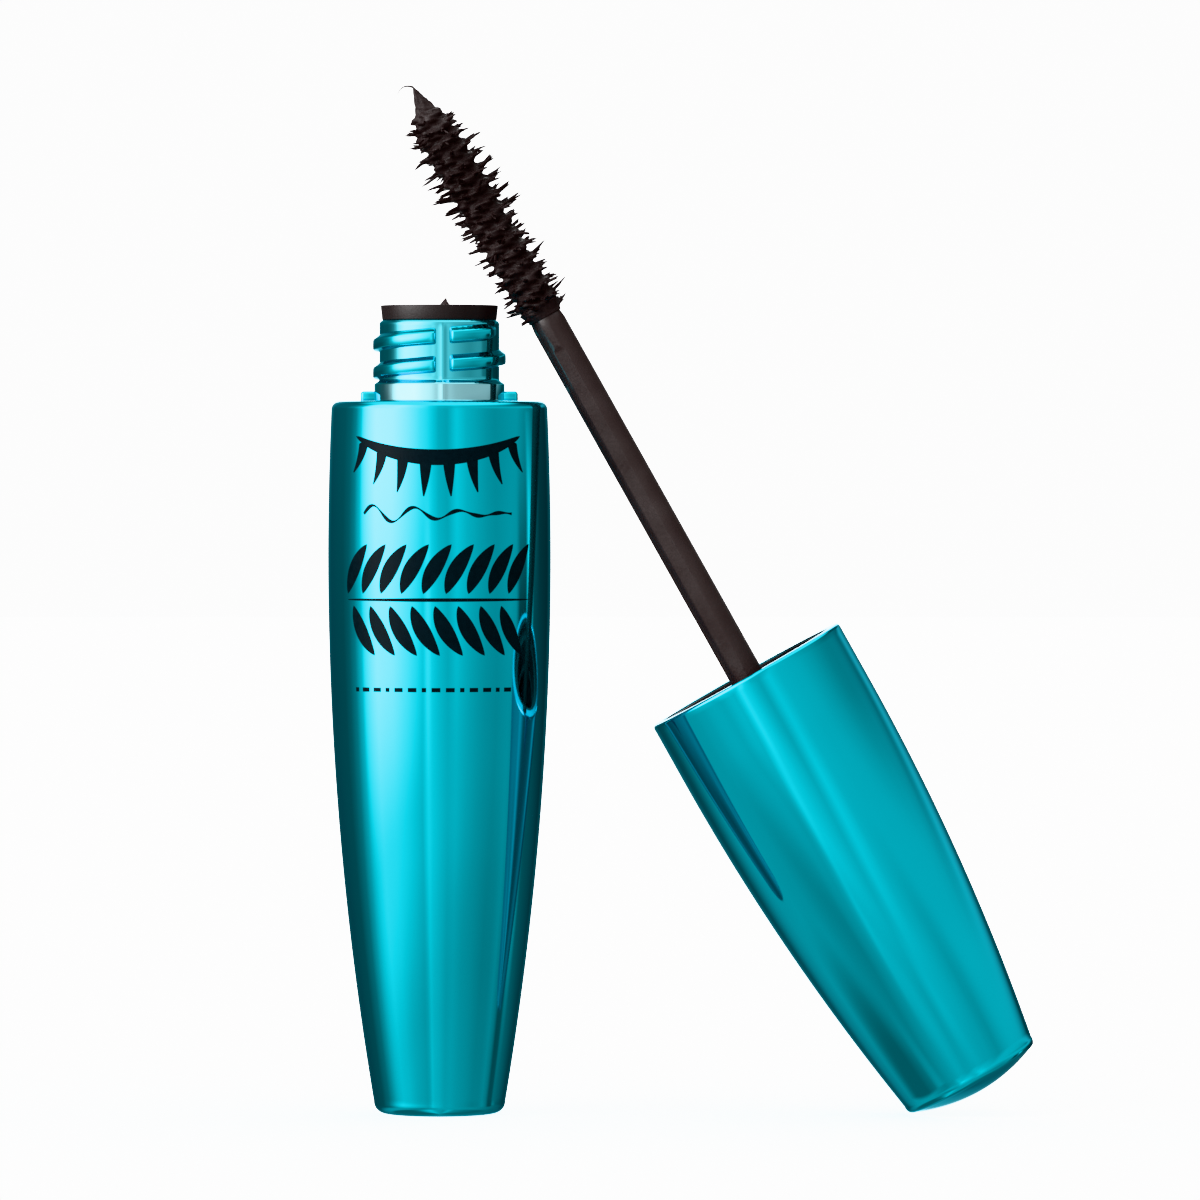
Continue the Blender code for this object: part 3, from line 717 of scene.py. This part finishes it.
def bristle_reach(u):
    """How far the bristles' tips stand out at a distance u from the rod's end."""
    full = 3.15 + 0.8 * sin(pi / 2 * min(1.0, u / 15.0)) ** 2
    flare = 1.0 * 2 ** (-(u / 1.7) ** 2)
    tip = max(0.0, (u - 18.0) / (BRISTLE_END - 18.0))
    return full + flare - 1.6 * tip ** 1.4


def longest_reach(u):
    """The longest a single point may be, so that the flare by the rod stays even."""
    return 4.7 - 0.45 * u if u < 3.0 else BRUSH_LENGTH


def core_radius(u):
    """The packed, product-filled middle of the brush."""
    rise = min(1.0, (u + 0.9) / 2.2)
    tip = max(0.0, (u - 19.5) / (BRISTLE_END + 0.8 - 19.5))
    return (1.5 + 0.6 * rise) * (1 - 0.3 * tip ** 1.5)


def make_brush_core(rng):
    """The clotted middle: a lumpy body with the double helix of the bristle rows in it."""
    around, rows, lump_count = 72, 190, 24
    start, end = -0.6, BRISTLE_END + 1.1
    phases = rng.uniform(0, 2 * pi, (lump_count, 3))
    waves = rng.integers(1, 9, (lump_count, 2))
    angles = np.arange(around) * 2 * pi / around
    verts = []
    for i in range(rows):
        u = start + (end - start) * i / (rows - 1)
        twist = 2 * pi * u / TWIST_PITCH
        ridge = np.abs(np.cos(angles - twist)) ** 1.6
        lumps = np.zeros_like(angles)
        for (p, q, _), (m, k) in zip(phases, waves):
            lumps += np.sin(m * angles + p + k * 1.3 * u + 0.8 * np.sin(2.1 * u + q))
        lumps /= lump_count ** 0.5
        fade = smooth(min((u - start) / 0.7, (end - u) / 0.5))
        radii = (core_radius(u) * (0.84 + 0.24 * ridge) + 0.15 * lumps) * (0.25 + 0.75 * fade)
        centre = brush_axis(u)
        verts += [(centre.x + r * cos(a), centre.y + r * sin(a), centre.z)
                  for r, a in zip(radii, angles)]
    mesh = mesh_from("brush_core", verts, ring_faces(rows, around))
    finish_piece("brush_core", mesh, MAT_PASTE, "wand",
                 ["bristle_row_a", "bristle_row_b"], 70, matrix=WAND)


def add_spike(verts, faces, root, tip, bend, thick, flat, taper, sides=6, rings=7):
    """One pulled-out point of bristles and product from root to tip, bowed by bend."""
    faces += ring_faces(rings, sides, base=len(verts))
    heading = (tip - root).normalized()
    side = heading.cross(Vector((0, 0, 1))).normalized()
    other = heading.cross(side)
    for i in range(rings):
        t = i / (rings - 1)
        centre = root.lerp(tip, t) + bend * t * t
        r = thick * (1 - t) ** taper + 0.03
        for k in range(sides):
            a = 2 * pi * k / sides
            verts.append(centre + side * r * flat * cos(a) + other * r * sin(a))


def make_tufts(rng):
    """Bristles stuck together in forked, pulled-out points along the two helical rows."""
    axis = Vector((0, 0, 1))
    for row, word in ((0.0, "a"), (pi, "b")):
        verts, faces = [], []
        u = 0.3
        while u < BRISTLE_END:
            a = 2 * pi * u / TWIST_PITCH + row
            out = Vector((cos(a), sin(a), 0.0))
            round_about = axis.cross(out)
            reach = min(bristle_reach(u) * rng.uniform(0.84, 1.12), longest_reach(u))
            centre = brush_axis(u + rng.normal(0, 0.04))
            root = centre + out * 1.2
            lean = axis * rng.normal(0.14, 0.2) + round_about * rng.normal(0, 0.2)
            web_tip = centre + out * reach * rng.uniform(0.68, 0.86) + lean * 0.7
            add_spike(verts, faces, root, web_tip, axis * rng.normal(0.0, 0.1),
                      rng.uniform(0.42, 0.56), rng.uniform(0.9, 1.3), 0.95, 10, 8)
            bow = axis * rng.normal(0.0, 0.18)
            for _ in range(rng.integers(3, 6)):
                fork = axis * rng.normal(0, 0.15) + round_about * rng.normal(0, 0.26)
                side_tip = centre + out * reach * rng.uniform(0.82, 1.04) + lean + fork
                add_spike(verts, faces, root.lerp(web_tip, 0.3), side_tip, bow,
                          rng.uniform(0.11, 0.17), 1.0, 0.45, 7, 8)
            u += TWIST_PITCH / rng.uniform(8.0, 11.0)
        mesh = mesh_from(f"bristles_{word}", [tuple(v) for v in verts], faces)
        finish_piece(f"bristles_{word}", mesh, MAT_BRISTLE, "wand",
                     sharp_deg=60, matrix=WAND)


TIP_HOOK = 0.32                  # how far the peak leans over at its point


def make_tip_peak(rng):
    """Product pulled out to a fin, and one stray hair curling off its point."""
    base_u, end_u = BRISTLE_END - 1.6, BRUSH_LENGTH + 0.9
    around, rows = 40, 44
    angles = np.arange(around) * 2 * pi / around
    phases = rng.uniform(0, 2 * pi, (5, 2))
    verts = []
    for i in range(rows):
        t = i / (rows - 1)
        centre = brush_axis(base_u + (end_u - base_u) * t) + Vector((TIP_HOOK * t ** 1.5, 0, 0))
        lumps = sum(np.sin((k + 2) * angles + p + 5 * t * (k + 1)) * sin(7 * t * (k + 1) + q)
                    for k, (p, q) in enumerate(phases)) / 5
        flat = 1 - 0.3 * np.sin(angles) ** 2
        radii = (2.15 * (1 - t) ** 1.02) * flat * (1 + 0.28 * lumps) + 0.05
        verts += [(centre.x + r * cos(a), centre.y + r * sin(a), centre.z)
                  for r, a in zip(radii, angles)]
    mesh = mesh_from("tip_peak", verts, ring_faces(rows, around))
    finish_piece("tip_peak", mesh, MAT_PASTE, "wand", ["tip_clump"], 70, matrix=WAND)

    apex = brush_axis(end_u) + Vector((TIP_HOOK, 0, -0.08))
    curl, loose_end = Vector((-0.8, 0.05, 0.95)), Vector((-1.75, 0.15, 0.15))
    hair = []
    for t in spread(0.0, 1.0, 20):
        place = apex + curl * 2 * t * (1 - t) + loose_end * t * t
        hair.append((place, 0.09 * (1 - t) + 0.025, 1.0))
    mesh = tube_mesh("tip_hair", hair, 6)
    finish_piece("tip_hair", mesh, MAT_PASTE, "wand", sharp_deg=70, matrix=WAND)


def make_rod_collar(rng):
    """Product scraped up round the rod's end, widening into the brush."""
    phase = rng.uniform(0, 2 * pi, 6)
    bore_r = 0.68

    def lumpy(r, z, angles):
        """Uneven outside of the rod, round within."""
        waves = sum(np.sin((i + 2) * angles + p + 2 * z) for i, p in enumerate(phase)) / 6
        return np.maximum(r + (0.2 * waves if r > ROD_R + 0.08 else 0.0), bore_r)

    outline = [(bore_r, ROD_END + 0.02), (ROD_R - 0.2, ROD_END + 0.02), (ROD_R + 0.01, ROD_END - 0.35)]
    outline += [(ROD_R + 0.03 + 0.4 * t ** 1.3, ROD_END - 0.35 + 1.2 * t) for t in spread(0.0, 1.0, 10)]
    outline += [(1.6, ROD_END + 1.25), (bore_r, ROD_END + 1.3)]
    mesh = turned_mesh("rod_end_collar", outline, 64, closed=True, shape=lumpy)
    finish_piece("rod_end_collar", mesh, MAT_PASTE, "wand",
                 ["rod_end_residue"], 70, matrix=WAND)


# ---- inner pieces that keep their solids --------------------------------------------------
def paint_inner_pieces():
    """Materials for the paste in the bottle and the wire in the brush."""
    for node, mat, slot in (("mascara_formula", MAT_PASTE, "mascara_paste"),
                            ("brush_wire", MAT_WIRE, "brush_wire_steel")):
        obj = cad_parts[node]
        obj.data.materials.clear()
        obj.data.materials.append(mat)


# ---- studio -------------------------------------------------------------------------------
# Rows of light panels all round. Each stop is (degrees from the front, positive to the right;
# brightness), and the brightness runs evenly from stop to stop. A big window stands at the left.
PANELS_UNDERFOOT = (
    (-180, 0.5), (-150, 0.25), (-120, 0.2), (-70, 0.2), (-50, 0.32), (-32, 0.8), (-20, 1.1),
    (-8, 0.75), (10, 0.55), (22, 0.85), (32, 0.5), (60, 0.32), (100, 0.2), (150, 0.3), (180, 0.5))
PANELS_DEEP = (
    (-180, 1.0), (-160, 0.25), (-140, 0.4), (-115, 0.6), (-90, 0.64), (-66, 0.6), (-50, 0.5),
    (-31, 0.42), (-14, 0.6), (0, 0.72), (30, 0.62), (60, 0.5), (90, 0.4), (120, 0.25), (160, 0.2),
    (180, 1.0))
PANELS_LOW = (
    (-180, 1.0), (-165, 0.2), (-150, 0.12), (-115, 0.16), (-98, 0.26), (-88, 0.5), (-76, 0.9),
    (-66, 1.08), (-52, 1.0), (-38, 0.82), (-28, 0.74), (-20, 0.66), (-15, 0.76), (-11, 1.05),
    (-7, 0.94), (0, 0.84), (10, 0.67), (19, 0.7), (30, 0.6), (42, 0.53), (60, 0.4), (72, 0.41),
    (82, 0.5), (90, 0.36), (96, 0.12), (104, 0.14), (108, 0.3), (116, 0.26), (150, 0.12),
    (165, 0.2), (180, 1.0))
PANELS_MIDDLE = (
    (-180, 3.0), (-170, 0.3), (-150, 0.1), (-116, 0.14), (-100, 0.3), (-90, 0.66), (-80, 1.25),
    (-68, 1.9), (-52, 1.75), (-38, 1.45), (-28, 1.2), (-18, 0.95), (-11, 1.5), (-7, 1.25),
    (0, 1.06), (10, 0.86), (19, 0.94), (30, 0.78), (42, 0.64), (52, 0.56), (64, 0.5), (80, 0.58),
    (88, 0.5), (93, 0.07), (103, 0.05), (107, 0.8), (111, 0.6), (116, 0.16), (150, 0.08),
    (170, 0.2), (180, 3.0))
PANELS_LEVEL = (
    (-180, 6.0), (-174, 0.5), (-160, 0.1), (-118, 0.13), (-108, 0.2), (-98, 0.4), (-88, 1.05),
    (-78, 3.6), (-68, 6.5), (-50, 5.4), (-38, 3.4), (-28, 2.2), (-16, 1.25), (-11, 2.2),
    (-7, 1.4), (0, 1.08), (10, 0.84), (19, 1.16), (30, 0.9), (42, 0.72), (52, 0.62), (62, 0.58),
    (80, 0.68), (88, 0.62), (93, 0.06), (103, 0.03), (107, 2.6), (111, 1.7), (116, 0.08),
    (150, 0.05), (174, 0.2), (180, 6.0))
PANELS_RAISED = (
    (-180, 6.0), (-172, 0.5), (-150, 0.15), (-118, 0.18), (-106, 0.25), (-98, 0.45), (-90, 1.2),
    (-80, 6.0), (-70, 10.0), (-50, 9.0), (-38, 6.0), (-28, 3.8), (-20, 2.3), (-8, 1.35), (0, 0.88),
    (9, 0.76), (19, 1.25), (30, 0.92), (42, 0.76), (52, 0.62), (62, 0.55), (80, 0.62), (92, 0.65),
    (104, 0.48), (118, 0.32), (128, 0.08), (150, 0.05), (172, 0.3), (180, 6.0))
# The three highest rows share the window and differ only at the right, which dims upwards.
WINDOW_SIDE = (
    (-180, 6.0), (-172, 0.5), (-150, 0.2), (-118, 0.22), (-104, 0.45), (-92, 1.3), (-80, 7.5),
    (-45, 8.5), (-30, 4.2), (-20, 2.8), (-10, 1.5), (0, 0.95), (10, 0.85))
PANELS_HIGH = WINDOW_SIDE + (
    (20, 1.1), (30, 0.93), (45, 0.86), (60, 0.84), (134, 0.84), (148, 0.72), (160, 0.55),
    (172, 0.4), (180, 6.0))
PANELS_UPPER = WINDOW_SIDE + (
    (20, 1.1), (30, 0.93), (45, 0.86), (60, 0.84), (90, 0.82), (104, 0.76), (118, 0.6), (134, 0.3),
    (148, 0.14), (160, 0.12), (172, 0.3), (180, 6.0))
PANELS_TOP = WINDOW_SIDE + (
    (20, 1.15), (30, 0.95), (45, 0.82), (60, 0.7), (80, 0.56), (95, 0.42), (108, 0.3), (120, 0.2),
    (134, 0.14), (160, 0.12), (172, 0.3), (180, 6.0))
# Heights on the unit sphere at which each row of panels is fully seen, from below upwards.
ROWS = ((-0.54, PANELS_DEEP), (-0.34, PANELS_LOW), (-0.2, PANELS_MIDDLE), (-0.06, PANELS_LEVEL),
        (0.08, PANELS_RAISED), (0.24, PANELS_HIGH), (0.33, PANELS_UPPER), (0.5, PANELS_TOP))
PANEL_MAX = 10.0
BACKDROP = 3.0                   # what the camera sees behind the object
RIGHT_DROP = 0.09                # how much higher the low rows reach at the right
OVERHEAD, OVERHEAD_FROM = 2.2, (0.62, 0.85)  # brightness, and the heights where it sets in
UNDERFOOT_FROM = (-0.72, -0.62)
FLOOR_RADIUS, FLOOR_DROP = 3.0, 0.00005


def make_world():
    """A pale backdrop for the camera, and panels of light all round for everything else."""
    world = bpy.data.worlds.new("studio")
    world.use_nodes = True
    tree = world.node_tree
    tree.nodes.clear()

    def node(kind, **values):
        """A new node with its settings."""
        made = tree.nodes.new(kind)
        for key, value in values.items():
            setattr(made, key, value)
        return made

    def math(operation, *values):
        """A maths node's result; each value is a number or another node's output."""
        made = node("ShaderNodeMath", operation=operation)
        for socket, value in zip(made.inputs, values):
            if isinstance(value, (int, float)):
                socket.default_value = value
            else:
                tree.links.new(value, socket)
        return made.outputs[0]

    def between(value, low, high):
        """0 to 1, softly, as the value goes from low to high."""
        made = node("ShaderNodeMapRange", interpolation_type="SMOOTHSTEP")
        tree.links.new(value, made.inputs["Value"])
        made.inputs["From Min"].default_value = low
        made.inputs["From Max"].default_value = high
        return made.outputs["Result"]

    def ring(turn, panels):
        """Brightness of one row of panels at a turn from 0 (back) to 1 (back again)."""
        ramp = node("ShaderNodeValToRGB")
        elements = ramp.color_ramp.elements
        while len(elements) < len(panels):
            elements.new(0.5)
        for element, (angle, value) in zip(elements, panels):
            element.position = 0.5 + angle / 360
            element.color = (*(value / PANEL_MAX,) * 3, 1.0)
        tree.links.new(turn, ramp.inputs["Fac"])
        return math("MULTIPLY", ramp.outputs["Color"], PANEL_MAX)

    direction = node("ShaderNodeTexCoord").outputs["Generated"]
    split = node("ShaderNodeSeparateXYZ")
    tree.links.new(direction, split.inputs[0])
    x, y, z = split.outputs
    azimuth = math("ARCTAN2", x, math("MULTIPLY", y, -1.0))
    turn = math("ADD", math("DIVIDE", azimuth, 2 * pi), 0.5)

    def blend(under, over, place, low, high):
        """From one brightness to another as the place goes from low to high."""
        amount = between(place, low, high)
        kept = math("MULTIPLY", under, math("SUBTRACT", 1.0, amount))
        return math("ADD", kept, math("MULTIPLY", over, amount))

    dropped = math("SUBTRACT", z, math("MULTIPLY", math("MAXIMUM", x, 0.0), RIGHT_DROP))
    room = ring(turn, ROWS[0][1])
    for (low, _), (high, panels) in zip(ROWS, ROWS[1:]):
        room = blend(room, ring(turn, panels), dropped if high < 0 else z, low, high)
    room = blend(room, OVERHEAD, z, *OVERHEAD_FROM)
    room = blend(ring(turn, PANELS_UNDERFOOT), room, z, *UNDERFOOT_FROM)

    studio = node("ShaderNodeBackground")
    studio.inputs["Color"].default_value = (1, 1, 1, 1)
    tree.links.new(room, studio.inputs["Strength"])
    backdrop = node("ShaderNodeBackground")
    backdrop.inputs["Color"].default_value = (1, 1, 1, 1)
    backdrop.inputs["Strength"].default_value = BACKDROP
    rays = node("ShaderNodeLightPath")
    mix = node("ShaderNodeMixShader")
    tree.links.new(rays.outputs["Is Camera Ray"], mix.inputs["Fac"])
    tree.links.new(studio.outputs[0], mix.inputs[1])
    tree.links.new(backdrop.outputs[0], mix.inputs[2])
    out = node("ShaderNodeOutputWorld")
    tree.links.new(mix.outputs[0], out.inputs["Surface"])
    bpy.context.scene.world = world


def make_floor():
    """A round pale floor, so wide that its edge melts into the backdrop."""
    bm = bmesh.new()
    bmesh.ops.create_circle(bm, cap_ends=True, segments=96, radius=FLOOR_RADIUS)
    mesh = bpy.data.meshes.new("floor")
    bm.to_mesh(mesh)
    bm.free()
    n = Nodes("floor_paper").set(Roughness=0.9, Specular_IOR_Level=0.1, Emission_Strength=0.8 * BACKDROP)
    n.shader.inputs["Emission Color"].default_value = (1, 1, 1, 1)
    n.link(n.ramp(n.noise(8.0), (0.3, 0.86), (0.7, 0.88)), n.shader.inputs["Base Color"])
    mesh.materials.append(n.mat)
    floor = link(bpy.data.objects.new("floor", mesh))
    floor.location.z = -FLOOR_DROP
    floor.visible_glossy = False
    floor.visible_diffuse = False


CAMERA_DISTANCE = 850.0
VIEW_CENTRE = (16.05, 51.35)     # what the middle of the picture looks at: x and z
EYE_HEIGHT = 63.75
VIEW_WIDTH = 120.0               # width of the view at the object


def make_camera():
    """A long lens from a little above the object's middle."""
    data = bpy.data.cameras.new("camera")
    data.sensor_width = 36.0
    data.lens = data.sensor_width * CAMERA_DISTANCE / VIEW_WIDTH
    data.clip_start, data.clip_end = 0.01, 50.0
    camera = link(bpy.data.objects.new("camera", data))
    eye = Vector((VIEW_CENTRE[0], -CAMERA_DISTANCE, EYE_HEIGHT)) * MM
    target = Vector((VIEW_CENTRE[0], 0.0, VIEW_CENTRE[1])) * MM
    camera.location = eye
    camera.rotation_euler = (target - eye).to_track_quat("-Z", "Y").to_euler()
    bpy.context.scene.camera = camera


def main():
    """Builds every piece; the brush's random draws follow this order."""
    rng = np.random.default_rng(7)
    make_bottle()
    make_threads()
    make_lugs()
    make_motif()
    make_wiper()
    make_rim_speck()
    make_cap()
    make_cap_liner()
    make_liner_thread()
    make_rod()
    make_brush_core(rng)
    make_tufts(rng)
    make_tip_peak(rng)
    make_rod_collar(rng)
    paint_inner_pieces()
    make_world()
    make_floor()
    make_camera()
    bpy.context.scene.view_settings.view_transform = "Khronos PBR Neutral"


main()
